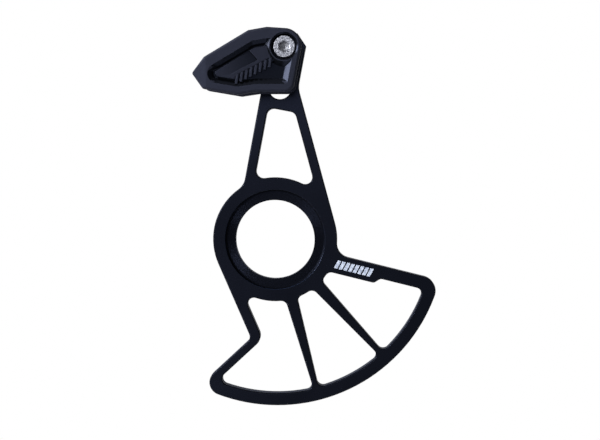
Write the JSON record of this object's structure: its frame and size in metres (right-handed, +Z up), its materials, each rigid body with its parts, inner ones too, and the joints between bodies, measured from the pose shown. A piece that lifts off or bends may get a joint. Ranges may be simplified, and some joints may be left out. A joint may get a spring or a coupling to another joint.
{
  "type": "bicycle chain guide",
  "caption": "Bicycle chain guide: cut aluminium plate with a skid rim, clamped under the bottom-bracket cup, carrying a slotted, height-adjustable moulded upper guide.",
  "frame": {"origin": "on the bottom-bracket axis, at the plate's back face, which lies against the shell's drive-side face", "axes": "+X forwards along the bike, +Z up, -Y outwards to the drive side, along the bottom-bracket axis"},
  "size_m": [0.1039, 0.0252, 0.1658],
  "materials": {
    "black_anodised_aluminium": "bead-blasted and black anodised, edges broken, seat turned",
    "black_nylon": "moulded, fine satin grain",
    "bright_steel": "nickel plated"
  },
  "bodies": {
    "plate": {"backplate": "black_anodised_aluminium"},
    "guide": {"guide_inner": "black_nylon", "guide_cover": "black_nylon", "guide_bolt": "bright_steel", "slot_nut": "bright_steel"}
  },
  "joints": [
    {"name": "guide_slide", "type": "slide", "parent": "plate", "child": "guide", "axis": [0.1874, 0, 0.9823], "range_m": [-0.0135, 0.0004]}
  ]
}
